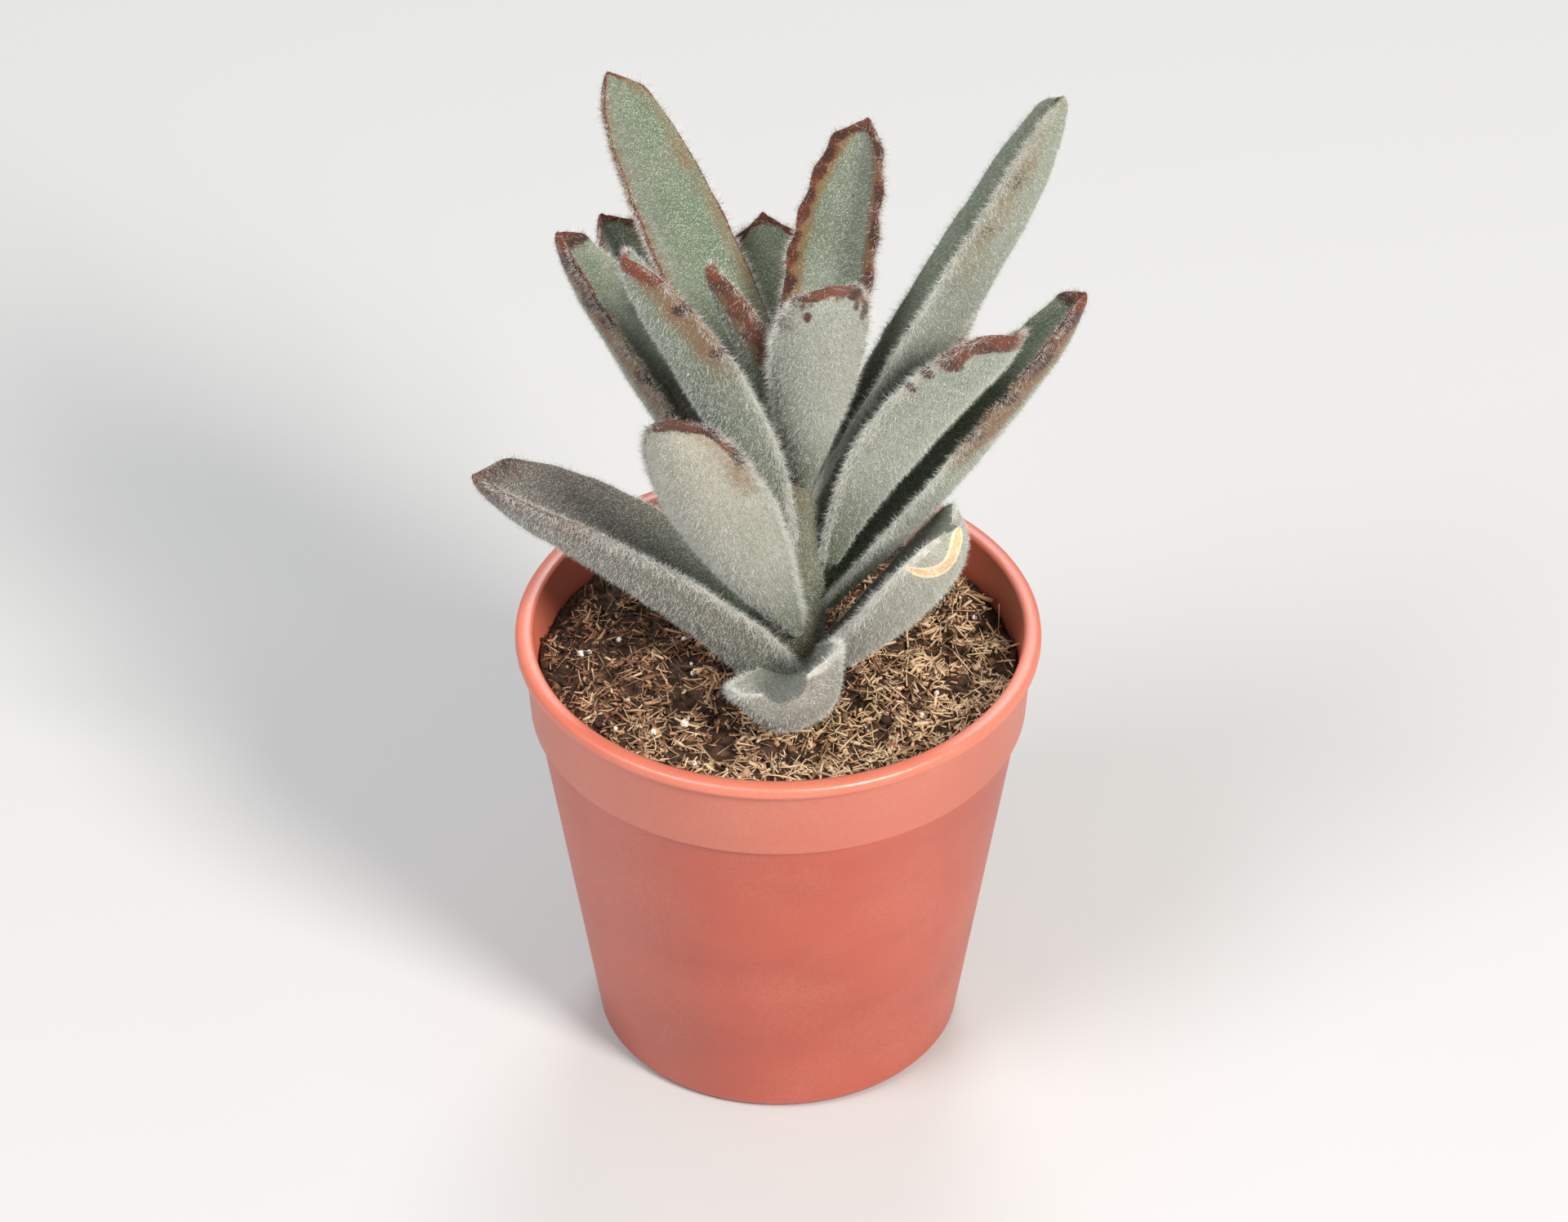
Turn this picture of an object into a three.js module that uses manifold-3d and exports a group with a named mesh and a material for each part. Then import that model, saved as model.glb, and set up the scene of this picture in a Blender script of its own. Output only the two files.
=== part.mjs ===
// Young panda plant (Kalanchoe tomentosa) in a small plastic grower pot.
// Millimetres, +Z up. The origin is the centre of the pot's flat underside.
import * as THREE from 'three';
import { mergeVertices } from 'three/addons/utils/BufferGeometryUtils.js';
import Module from 'manifold-3d';

// ---- Driving dimensions -------------------------------------------------------------------

const POT_HEIGHT = 50;
const RIM_RADIUS = 27.5; // outside of the rolled lip: a 5.5 cm pot
const BASE_RADIUS = 19;
const WALL = 1.1;
const LIP_HEIGHT = 1.5;
const LIP_OVERHANG = 0.9; // how far the lip stands out from the collar
const COLLAR_HEIGHT = 9.7; // from the pot's top to the lower edge of the band under the lip
const COLLAR_TAPER = 0.6; // how much the collar narrows on its way down
const COLLAR_STEP = 0.6; // how far the body steps in under the collar
const POT_SIDES = 40;
const DRAIN_COUNT = 6;
const DRAIN_RADIUS = 2;
const DRAIN_CIRCLE = 12.5;

const GAP = 0.3; // clearance between pieces that touch
const LEAF_GAP = 0.5; // across a blade, where leaves crowd together at the crown
const SOIL_LEVEL = 44.8; // mean height of the soil's surface
const SOIL_ROUGHNESS = 0.5;
const SOIL_SIDES = POT_SIDES;
const SOIL_RINGS = 7;
const LOW_LEAF = 4; // leaves that start lower than this may touch the soil

const STEM_X = 2.4; // the stem stands a little off the pot's axis
const STEM_DEPTH = 9; // how deep the stem stands in the soil
const STEM_HEIGHT = 28; // from the soil to the crown
const STEM_RADIUS = 2.4;
const STEM_TIP_RADIUS = 1.6;
const STEM_SIDES = 10;
const STEM_STEPS = 20;
const NODE_SWELLING = 0.25; // ring round the stem where a leaf grows

const LEAF_BASE_WIDTH = 2.6;
const LEAF_THICKNESS = 0.25; // at the midrib, as a share of the leaf's width
const MARGIN_THICKNESS = 0.14; // near the edge, as a share of the leaf's width
const TEETH = 4; // scallops on each side of the tip
const TEETH_START = 0.56; // where they begin, as a share of the length
const TOOTH_DEPTH = 0.4;
const TIP_WIDTH = 0.14; // of the blunt tip's edge, as a share of the width
const PLAIN_STATIONS = [0, 0.07, 0.18, 0.3, 0.43]; // rings along the part without scallops
const LAST_STATION = 0.97; // a ring close to the tip, which rounds it
const SECTION_STATIONS = [-0.86, -0.45, 0, 0.45, 0.86]; // across each face
const SMALLEST = 0.02; // detail below this is merged away after a cut

// Leaves, in about the order that they grew. height: of the leaf's base above the soil, or below
// it where that is negative. azimuth: 0 is +X and 90 is +Y. lift: angle of the chord above level,
// and bend: how much steeper the tip is than the base. sweep: how far the leaf turns sideways.
// widest: share of the length where it is widest. shoulder: how slowly it widens from the base.
// channel: depth of the trough along it. roll: turn about its own length. Where a leaf differs
// from most: out is how far its base is from the stem's middle, clasp is its width at the stem,
// cup is how square its trough is, and blunt is its tip's edge, as a share of its width.
const LEAVES = [
  { name: 'leaf_01_front', height: 2.5, azimuth: -95.5, length: 19.2, lift: 24, bend: 10,
    width: 12.2, widest: 0.74, shoulder: 1.3, channel: 4.6, roll: 24, cup: 3, blunt: 0.6 },
  { name: 'leaf_02_left', height: -2.6, azimuth: 187.3, length: 47, lift: 41.8, bend: -46, sweep: -30,
    width: 12, widest: 0.42, shoulder: 0.5, channel: 4.6, roll: 4, clasp: 4.4 },
  { name: 'leaf_03_right', height: 1.2, azimuth: -23.0, length: 27.4, lift: 54.7, bend: 6,
    out: 1.0, clasp: 4.4, width: 11.6, widest: 0.78, shoulder: 1.2, channel: 3.6, roll: 0 },
  { name: 'leaf_04_back', height: 3, azimuth: 96, length: 36, lift: 38, bend: -10,
    width: 10.5, widest: 0.5, shoulder: 0.9, channel: 2.6 },
  { name: 'leaf_05_front_left', height: 7, azimuth: 234.5, length: 44.3, lift: 61.2, bend: 12,
    out: 0.8, width: 11.6, widest: 0.62, shoulder: 1.3, channel: 2.2, roll: 22 },
  { name: 'leaf_06_back_right', height: 7, azimuth: 51, length: 38, lift: 46, bend: -6,
    width: 10, widest: 0.5, shoulder: 0.9, channel: 2.8 },
  { name: 'leaf_07_right', height: 9, azimuth: 3.0, length: 46.5, lift: 54.9, bend: 0,
    out: 1.8, width: 9, widest: 0.46, shoulder: 1.1, channel: 2.8 },
  { name: 'leaf_08_left', height: 11, azimuth: 164.5, length: 47.3, lift: 57.5, bend: 0, sweep: 12,
    width: 9, widest: 0.5, shoulder: 0.9, channel: 3 },
  { name: 'leaf_09_back', height: 13.5, azimuth: 99, length: 37, lift: 47, bend: 6,
    width: 10, widest: 0.55, shoulder: 0.9, channel: 2.6 },
  { name: 'leaf_10_front_right', height: 14.8, azimuth: -23.4, length: 42.1, lift: 57.9, bend: -28, sweep: -42,
    out: 1.9, width: 10.6, widest: 0.48, shoulder: 1.3, channel: 2.8, roll: -18 },
  { name: 'leaf_11_back_left', height: 16, azimuth: 139.5, length: 40, lift: 48, bend: 6,
    width: 9.5, widest: 0.5, shoulder: 1, channel: 2.8 },
  { name: 'leaf_12_back_right', height: 17.5, azimuth: 28.5, length: 36.6, lift: 54, bend: 4,
    width: 9.5, widest: 0.5, shoulder: 1, channel: 2.8 },
  { name: 'leaf_13_left', height: 17, azimuth: 212, length: 47.8, lift: 65.9, bend: -18,
    out: 1, width: 10, widest: 0.58, shoulder: 1, channel: 2.8 },
  { name: 'leaf_14_right', height: 21.5, azimuth: 10.4, length: 54.2, lift: 61.2, bend: 4,
    width: 10.5, widest: 0.5, shoulder: 1.1, channel: 4, roll: -16 },
  { name: 'leaf_15_back', height: 22.5, azimuth: 60.6, length: 41.3, lift: 71.6, bend: -14, sweep: -8,
    width: 9.5, widest: 0.55, shoulder: 1.1, channel: 2.6 },
  { name: 'leaf_16_front', height: 25.2, azimuth: -71, length: 30.6, lift: 74.5, bend: 0,
    width: 10.2, widest: 0.7, shoulder: 1, channel: 2.2 },
  { name: 'leaf_17_back_left', height: 22.6, azimuth: 133, length: 47.8, lift: 53, bend: 0,
    width: 10.2, widest: 0.5, shoulder: 1, channel: 2.6 },
  { name: 'leaf_18_crown', height: 24, azimuth: 206.5, length: 32.5, lift: 71.5, bend: -26,
    width: 7.2, widest: 0.5, shoulder: 1.1, channel: 2 },
];

// Tiny young leaves in the crown, grown together with the stem.
const YOUNG_LEAVES = [
  { height: 26.5, azimuth: 300, length: 14, lift: 80, bend: 6,
    width: 4.6, widest: 0.5, shoulder: 1, channel: 1 },
  { height: 27, azimuth: 105, length: 11, lift: 82, bend: 6,
    width: 4, widest: 0.5, shoulder: 1, channel: 0.9 },
  { height: 27.4, azimuth: 20, length: 8, lift: 84, bend: 6,
    width: 3.2, widest: 0.5, shoulder: 1, channel: 0.7 },
];

// ---- Solids -------------------------------------------------------------------------------

const wasm = await Module();
wasm.setup();

// A closed mesh as a solid that can be joined and cut.
function solidOf(geometry) {
  const bare = geometry.clone();
  bare.deleteAttribute('normal');
  bare.deleteAttribute('uv');
  const merged = mergeVertices(bare, 1e-4);
  const index = merged.index.array;
  const triangles = [];
  for (let i = 0; i < index.length; i += 3) {
    const [a, b, c] = index.slice(i, i + 3);
    if (a !== b && b !== c && c !== a) triangles.push(a, b, c);
  }
  return new wasm.Manifold(new wasm.Mesh({
    numProp: 3,
    vertProperties: new Float32Array(merged.attributes.position.array),
    triVerts: new Uint32Array(triangles),
  }));
}

// What is left of a solid when the scraps and slivers of a cut are dropped.
function largestPiece(solid) {
  const pieces = solid.decompose();
  const largest = pieces.reduce((best, piece) => (piece.volume() > best.volume() ? piece : best));
  return largest.asOriginal().simplify(SMALLEST);
}

function geometryOf(solid) {
  const mesh = solid.getMesh();
  return geometryFrom(mesh.vertProperties, mesh.triVerts);
}

function geometryFrom(positions, triangles) {
  const geometry = new THREE.BufferGeometry();
  geometry.setAttribute('position', new THREE.BufferAttribute(new Float32Array(positions), 3));
  geometry.setIndex(new THREE.BufferAttribute(new Uint32Array(triangles), 1));
  geometry.computeVertexNormals();
  return geometry;
}

// Rings of equal point count joined into a tube, each end closed by a fan round its mean point.
// A pointed tube's last ring is folded flat on itself, so it needs no fan. Where turned(i) is
// true, the quads after point i are split along their other diagonal.
function loft(rings, { pointed = false, turned = () => false } = {}) {
  const count = rings[0].length;
  const points = rings.flat();
  const triangles = [];
  for (let r = 0; r + 1 < rings.length; r += 1) {
    for (let i = 0; i < count; i += 1) {
      const a = r * count + i;
      const b = r * count + ((i + 1) % count);
      const c = b + count;
      const d = a + count;
      triangles.push(...(turned(i) ? [a, b, d, b, c, d] : [a, b, c, a, c, d]));
    }
  }
  for (const ring of pointed ? [0] : [0, rings.length - 1]) {
    const middle = new THREE.Vector3();
    for (const point of rings[ring]) middle.add(point);
    const hub = points.push(middle.divideScalar(count)) - 1;
    for (let i = 0; i < count; i += 1) {
      const a = ring * count + i;
      const b = ring * count + ((i + 1) % count);
      triangles.push(...(ring === 0 ? [b, a, hub] : [a, b, hub]));
    }
  }
  return geometryFrom(points.flatMap((p) => p.toArray()), triangles);
}

// ---- Stem ---------------------------------------------------------------------------------

function stemCentre(height) {
  return new THREE.Vector3(STEM_X, 0, SOIL_LEVEL + height);
}

// The stem's radius: an even taper, with a soft ring at each leaf's base.
function stemRadius(height) {
  const taper = THREE.MathUtils.lerp(STEM_RADIUS, STEM_TIP_RADIUS, Math.max(0, height / STEM_HEIGHT));
  const swelling = Math.max(...LEAVES.map((leaf) => Math.exp(-((height - leaf.height) ** 2))));
  return taper + NODE_SWELLING * swelling;
}

// The stem with its crown, made larger by a clearance on every side where it cuts its neighbours.
function stemSolid(clearance) {
  const rings = [];
  const foot = -STEM_DEPTH - clearance;
  const top = STEM_HEIGHT + clearance;
  for (let k = 0; k <= STEM_STEPS; k += 1) {
    const height = THREE.MathUtils.lerp(foot, top, k / STEM_STEPS);
    const centre = stemCentre(height);
    const radius = stemRadius(height) + clearance;
    rings.push(Array.from({ length: STEM_SIDES }, (_, i) => {
      const angle = (2 * Math.PI * i) / STEM_SIDES;
      return new THREE.Vector3(radius * Math.cos(angle), radius * Math.sin(angle), 0).add(centre);
    }));
  }
  const crown = YOUNG_LEAVES.map((leaf) => leafSolid(leaf, clearance));
  return crown.reduce((stem, leaf) => stem.add(leaf), solidOf(loft(rings)));
}

// ---- Leaves -------------------------------------------------------------------------------

// The leaf's middle line and its own axes at each share s of its length.
function leafFrames(leaf, stations) {
  const radians = THREE.MathUtils.degToRad;
  const frames = [];
  const start = radians(leaf.azimuth - (leaf.sweep ?? 0) / 2);
  const point = stemCentre(leaf.height);
  point.add(new THREE.Vector3(Math.cos(start), Math.sin(start), 0).multiplyScalar(leaf.out ?? 0));
  let last = 0;
  for (const s of stations) {
    const middle = (s + last) / 2;
    const along = leafDirection(leaf, middle);
    point.addScaledVector(along, (s - last) * leaf.length);
    last = s;
    const azimuth = radians(leaf.azimuth + (leaf.sweep ?? 0) * (s - 0.5));
    const tangent = leafDirection(leaf, s);
    const across = new THREE.Vector3(-Math.sin(azimuth), Math.cos(azimuth), 0);
    across.applyAxisAngle(tangent, radians(leaf.roll ?? 0));
    const up = new THREE.Vector3().crossVectors(tangent, across);
    frames.push({ s, point: point.clone(), tangent, across, up });
  }
  return frames;
}

function leafDirection(leaf, s) {
  const azimuth = THREE.MathUtils.degToRad(leaf.azimuth + (leaf.sweep ?? 0) * (s - 0.5));
  const lift = THREE.MathUtils.degToRad(leaf.lift + leaf.bend * (s - 0.5));
  return new THREE.Vector3(
    Math.cos(lift) * Math.cos(azimuth), Math.cos(lift) * Math.sin(azimuth), Math.sin(lift));
}

// Half width without scallops: narrow at the base, widest past the middle, blunt at the tip.
function halfWidth(leaf, s) {
  const base = Math.min(0.7, (leaf.clasp ?? LEAF_BASE_WIDTH) / leaf.width);
  let share;
  if (s < leaf.widest) {
    share = base + (1 - base) * Math.sin((Math.PI / 2) * (s / leaf.widest)) ** leaf.shoulder;
  } else {
    const q = (s - leaf.widest) / (1 - leaf.widest);
    const tip = leaf.blunt ?? TIP_WIDTH;
    share = tip + (1 - tip) * Math.sqrt(Math.max(0, 1 - q ** 2));
  }
  return (share * leaf.width) / 2;
}

// Scallops: 0 in the notches and 1 on the crests.
function scallop(s) {
  if (s <= TEETH_START) return 0;
  const turn = ((s - TEETH_START) / (1 - TEETH_START)) * TEETH;
  return (1 - Math.cos(2 * Math.PI * turn)) / 2;
}

// A thick blade folded to a channel: a ring of points at each station, and a blunt edge at the
// tip. The clearance makes it larger on every side.
function leafSolid(leaf, clearance = 0) {
  const scalloped = Array.from({ length: 2 * TEETH + 1 },
    (_, k) => TEETH_START + ((1 - TEETH_START) * k) / (2 * TEETH));
  const stations = [...PLAIN_STATIONS, ...scalloped.slice(0, -1), LAST_STATION, 1];
  const frames = leafFrames(leaf, stations);
  const faceCount = SECTION_STATIONS.length;
  const size = leaf.width / 10; // small leaves have small scallops
  const rings = frames.map((frame, k) => {
    const { s } = frame;
    const half = halfWidth(leaf, s) + clearance;
    const trough = leaf.channel * Math.min(1, (2 * half) / leaf.width);
    const fade = s < 0.8 ? 1 : Math.sqrt(Math.max(0, 1 - ((s - 0.8) / 0.2) ** 2));
    const full = leaf.width * LEAF_THICKNESS * (0.72 + 0.28 * Math.sin(Math.PI * s)) * fade;
    const thin = leaf.width * MARGIN_THICKNESS * (0.5 + 0.5 * fade);
    const forward = { 0: -clearance, [frames.length - 1]: clearance }[k] ?? 0;
    const place = (x, up) => frame.point.clone()
      .addScaledVector(frame.across, x * half)
      .addScaledVector(frame.up, up)
      .addScaledVector(frame.tangent, forward);
    const upper = (x) => trough * (Math.abs(x) ** (leaf.cup ?? 1.8) - 0.45);
    if (k === frames.length - 1) {
      const edge = [-1, ...SECTION_STATIONS, 1].map((x) => place(x, upper(x) - thin / 2));
      const across = edge.slice(1, 1 + faceCount);
      return [...across, edge[faceCount + 1], ...across.toReversed(), edge[0]];
    }
    const thickness = (x) => thin + Math.max(0, full - thin) * (1 - Math.abs(x) ** 2.2);
    const reach = 1 + (TOOTH_DEPTH * size * scallop(s)) / half;
    return [
      ...SECTION_STATIONS.map((x) => place(x, upper(x) - thickness(x) - clearance)),
      place(reach, upper(1) - thin / 2),
      ...SECTION_STATIONS.toReversed().map((x) => place(x, upper(x) + clearance)),
      place(-reach, upper(1) - thin / 2),
    ];
  });
  const turned = (i) => (i < faceCount) === (i % (faceCount + 1) < faceCount / 2);
  return solidOf(loft(rings, { pointed: true, turned }));
}

// ---- Soil and pot -------------------------------------------------------------------------

// The pot's outer radius under the collar, at a height.
function bodyRadius(height) {
  const top = POT_HEIGHT - COLLAR_HEIGHT;
  const topRadius = RIM_RADIUS - LIP_OVERHANG - COLLAR_TAPER - COLLAR_STEP;
  return THREE.MathUtils.lerp(BASE_RADIUS, topRadius, height / top);
}

// The collar's outer radius, at a height.
function collarRadius(height) {
  const down = (POT_HEIGHT - LIP_HEIGHT - height) / (COLLAR_HEIGHT - LIP_HEIGHT);
  return RIM_RADIUS - LIP_OVERHANG - COLLAR_TAPER * down;
}

function potSolid() {
  const step = POT_HEIGHT - COLLAR_HEIGHT;
  const lip = POT_HEIGHT - LIP_HEIGHT;
  const corner = 1; // rounding where the wall meets the floor
  const profile = [
    [0, 0],
    [BASE_RADIUS - corner, 0],
    [bodyRadius(corner), corner],
    [bodyRadius(step), step],
    [collarRadius(step + 0.4), step + 0.4],
    [collarRadius(lip), lip],
    [RIM_RADIUS - 0.2, lip],
    [RIM_RADIUS, lip + 0.3],
    [RIM_RADIUS, POT_HEIGHT - 0.4],
    [RIM_RADIUS - 0.4, POT_HEIGHT],
    [collarRadius(POT_HEIGHT) - WALL + 0.3, POT_HEIGHT],
    [collarRadius(POT_HEIGHT) - WALL, POT_HEIGHT - 0.3],
    [collarRadius(step + WALL) - WALL, step + WALL],
    [bodyRadius(step) - WALL, step - 0.4],
    [bodyRadius(WALL + corner) - WALL, WALL + corner],
    [BASE_RADIUS - corner - WALL, WALL],
    [0, WALL],
  ].map(([radius, height]) => new THREE.Vector2(radius, height));
  let pot = solidOf(new THREE.LatheGeometry(profile, POT_SIDES).rotateX(Math.PI / 2));
  for (let k = 0; k < DRAIN_COUNT; k += 1) {
    const angle = (2 * Math.PI * (k + 0.5)) / DRAIN_COUNT;
    const hole = new THREE.CylinderGeometry(DRAIN_RADIUS, DRAIN_RADIUS, 4 * WALL, 12);
    hole.rotateX(Math.PI / 2);
    hole.translate(DRAIN_CIRCLE * Math.cos(angle), DRAIN_CIRCLE * Math.sin(angle), 0);
    pot = pot.subtract(solidOf(hole));
  }
  return pot;
}

// A repeatable random number from 0 to 1.
function makeRandom(seed) {
  let state = seed;
  return () => {
    state = (state * 1664525 + 1013904223) % 4294967296;
    return state / 4294967296;
  };
}

// The potting mix: it fills the pot with a small clearance, and its top is rough. The lowest
// leaves lie in hollows in it.
function soilSolid() {
  const random = makeRandom(11);
  const step = POT_HEIGHT - COLLAR_HEIGHT;
  const wallRadius = (height) => (height < step
    ? bodyRadius(height) - WALL - GAP
    : collarRadius(height) - WALL - GAP);
  const floor = WALL + GAP;
  const edge = wallRadius(SOIL_LEVEL);
  const circle = (radius, height) => Array.from({ length: SOIL_SIDES }, (_, i) => {
    const angle = (2 * Math.PI * i) / SOIL_SIDES;
    return new THREE.Vector3(radius * Math.cos(angle), radius * Math.sin(angle), height());
  });
  const rings = [
    circle(BASE_RADIUS - 1 - WALL - 2 * GAP, () => floor),
    circle(wallRadius(floor + 2), () => floor + 2),
    circle(wallRadius(step - 1), () => step - 1),
    circle(wallRadius(step + 2), () => step + 2),
  ];
  for (let k = 0; k < SOIL_RINGS; k += 1) {
    const radius = edge * (1 - k / SOIL_RINGS);
    const roughness = SOIL_ROUGHNESS * Math.min(1, radius / 10);
    rings.push(circle(radius, () => SOIL_LEVEL + roughness * (2 * random() - 1)));
  }
  const lowest = LEAVES.filter((leaf) => leaf.height < LOW_LEAF);
  const rooted = solidOf(loft(rings)).subtract(stemSolid(GAP));
  return largestPiece(lowest.reduce((soil, leaf) => soil.subtract(leafSolid(leaf, LEAF_GAP)), rooted));
}

// ---- Assembly -----------------------------------------------------------------------------

const MATERIALS = {
  pot: new THREE.MeshStandardMaterial({ color: 0xc4512d, roughness: 0.45, metalness: 0 }),
  soil: new THREE.MeshStandardMaterial({ color: 0x4a3326, roughness: 1, metalness: 0 }),
  stem: new THREE.MeshStandardMaterial({ color: 0x8f9a72, roughness: 0.9, metalness: 0 }),
  leaf: new THREE.MeshStandardMaterial({ color: 0xa3ad9a, roughness: 0.95, metalness: 0 }),
};

const group = new THREE.Group();

function addPiece(name, solid, material) {
  const mesh = new THREE.Mesh(geometryOf(solid), material);
  mesh.name = name;
  group.add(mesh);
}

addPiece('pot', potSolid(), MATERIALS.pot);
addPiece('soil', soilSolid(), MATERIALS.soil);
addPiece('stem', largestPiece(stemSolid(0)), MATERIALS.stem);

// Each leaf stops short of the stem, and of the leaves that were there before it.
let taken = stemSolid(GAP);
for (const leaf of LEAVES) {
  addPiece(leaf.name, largestPiece(leafSolid(leaf).subtract(taken)), MATERIALS.leaf);
  taken = taken.add(leafSolid(leaf, LEAF_GAP));
}

export default group;
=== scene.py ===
import functools
import math

import bmesh
import bpy
import numpy as np
from mathutils import Matrix, Vector, noise


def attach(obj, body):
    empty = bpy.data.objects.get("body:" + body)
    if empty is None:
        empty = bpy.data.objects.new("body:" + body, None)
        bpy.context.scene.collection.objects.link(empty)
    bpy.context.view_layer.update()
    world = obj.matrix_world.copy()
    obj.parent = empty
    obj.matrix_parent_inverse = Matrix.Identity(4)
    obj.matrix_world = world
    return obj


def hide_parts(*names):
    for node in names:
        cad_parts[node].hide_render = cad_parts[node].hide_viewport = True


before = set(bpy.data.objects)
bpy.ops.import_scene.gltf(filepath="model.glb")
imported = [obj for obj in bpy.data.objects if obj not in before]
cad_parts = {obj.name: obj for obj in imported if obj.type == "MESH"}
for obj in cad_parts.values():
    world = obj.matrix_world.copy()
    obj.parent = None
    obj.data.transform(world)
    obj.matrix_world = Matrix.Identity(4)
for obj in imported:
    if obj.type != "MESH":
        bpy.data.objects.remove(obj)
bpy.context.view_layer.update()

# Sizes are in millimetres and angles in degrees, except where a comment says otherwise.
MM = 0.001
TOUCHING = 1e-6  # metres: points nearer than this are one point

# ---- Camera, light and floor ----------------------------------------------------------------
# The plant stands on a plain pale floor, seen from the front and from above with a long lens.
# The main light is large and soft, high at the right front. A weaker one at the left front
# fills its shadows, a third one behind lights the edges, and the room itself is pale.

EYE = Vector((0, -713.4, 599)) * MM
AIM = Vector((0.6, 0, 52)) * MM
LENS = 198
FILM_WIDTH = 36
NEAREST = 0.01  # metres

# Places and sizes in metres, powers in watts.
LIGHTS = [
    dict(name="key_light", place=(0.5, -0.62, 0.66), size=0.3, power=13, colour=(1, 0.97, 0.93)),
    dict(name="fill_light", place=(-0.5, -0.42, 0.8), size=0.5, power=6.5, colour=(0.94, 0.97, 1)),
    dict(name="back_light", place=(0.1, 0.7, 0.8), size=0.4, power=4, colour=(0.97, 0.98, 1)),
]
ROOM_COLOUR = (0.86, 0.88, 0.9, 1)
ROOM_STRENGTH = 0.45
FLOOR_SIZE = 3.0  # metres
FLOOR_SQUARES = 8
FLOOR_COLOUR = (0.5, 0.495, 0.485, 1)


def add_object(name, data):
    made = bpy.data.objects.new(name, data)
    bpy.context.scene.collection.objects.link(made)
    return made


def aim_at_plant(thing, place):
    thing.location = place
    thing.rotation_euler = (AIM - thing.location).to_track_quat("-Z", "Y").to_euler()


def soft_light(name, place, size, power, colour):
    lamp = bpy.data.lights.new(name, "AREA")
    lamp.shape = "DISK"
    lamp.size = size
    lamp.energy = power
    lamp.color = colour
    aim_at_plant(add_object(name, lamp), place)


class Finish:
    """A procedural material, with short ways to make its nodes and to join them."""

    def __init__(self, name, roughness, specular=0.5):
        self.material = bpy.data.materials.new(name)
        self.material.use_nodes = True
        self.tree = self.material.node_tree
        self.shader = self.tree.nodes["Principled BSDF"].inputs
        self.give(self.shader["Roughness"], roughness)
        self.give(self.shader["Specular IOR Level"], specular)

    def give(self, socket, value):
        """Joins the socket to another node's output, or sets the constant on it."""
        if isinstance(value, bpy.types.NodeSocket):
            self.tree.links.new(value, socket)
        else:
            socket.default_value = value

    def node(self, kind, inputs, **settings):
        """The outputs of a new node, whose inputs go by name or by number."""
        made = self.tree.nodes.new(kind)
        for key, value in settings.items():
            setattr(made, key, value)
        for key, value in inputs.items():
            self.give(made.inputs[key], value)
        return made.outputs

    @functools.cached_property
    def place(self):
        return self.node("ShaderNodeTexCoord", {})["Object"]

    def pattern(self, scale, detail, roughness=0.5, stretch=None):
        """Random grains that keep their place on the piece."""
        place = self.place
        if stretch:
            place = self.node("ShaderNodeMapping", {"Vector": place, "Scale": stretch})["Vector"]
        inputs = {"Vector": place, "Scale": scale, "Detail": detail, "Roughness": roughness}
        return self.node("ShaderNodeTexNoise", inputs)["Fac"]

    def span(self, value, low, high, to_low=0.0, to_high=1.0, ease="LINEAR"):
        """Maps the values from low to high to another range, and holds them inside it."""
        inputs = {"Value": value, "From Min": low, "From Max": high,
                  "To Min": to_low, "To Max": to_high}
        return self.node("ShaderNodeMapRange", inputs, interpolation_type=ease)["Result"]

    def soft_span(self, value, low, high, to_low=0.0, to_high=1.0):
        return self.span(value, low, high, to_low, to_high, "SMOOTHSTEP")

    def mix(self, under, over, share):
        inputs = {"A": under, "B": over, "Factor": share}
        return self.node("ShaderNodeMix", inputs, data_type="RGBA")["Result"]

    def plus(self, first, second):
        return self.node("ShaderNodeMath", {0: first, 1: second}, operation="ADD")["Value"]

    def times(self, first, second):
        return self.node("ShaderNodeMath", {0: first, 1: second}, operation="MULTIPLY")["Value"]

    def paint(self, colour):
        self.give(self.shader["Base Color"], colour)

    def emboss(self, height, strength, distance):
        inputs = {"Height": height, "Strength": strength, "Distance": distance}
        self.give(self.shader["Normal"], self.node("ShaderNodeBump", inputs)["Normal"])


camera = add_object("camera", bpy.data.cameras.new("camera"))
aim_at_plant(camera, EYE)
camera.data.lens = LENS
camera.data.sensor_width = FILM_WIDTH
camera.data.clip_start = NEAREST
bpy.context.scene.camera = camera

for light in LIGHTS:
    soft_light(**light)

room = bpy.data.worlds.new("pale_room")
room.use_nodes = True
room.node_tree.nodes["Background"].inputs["Color"].default_value = ROOM_COLOUR
room.node_tree.nodes["Background"].inputs["Strength"].default_value = ROOM_STRENGTH
bpy.context.scene.world = room
bpy.context.scene.view_settings.view_transform = "Standard"

floor_paint = Finish("floor_paint", 0.7)
floor_paint.paint(FLOOR_COLOUR)
floor_shape = bmesh.new()
bmesh.ops.create_grid(floor_shape, x_segments=FLOOR_SQUARES, y_segments=FLOOR_SQUARES,
                      size=FLOOR_SIZE)
floor_mesh = bpy.data.meshes.new("floor")
floor_shape.to_mesh(floor_mesh)
floor_shape.free()
floor_mesh.materials.append(floor_paint.material)
floor = add_object("floor", floor_mesh)

# ---- Pot ------------------------------------------------------------------------------------
# A thin pot moulded in one piece from terracotta-coloured polypropylene: a tapering body, a
# collar that stands out under a rolled lip, and drain holes in its flat base. It is a profile
# turned round the pot's axis, and its corners are rounded as a mould's are.

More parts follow.
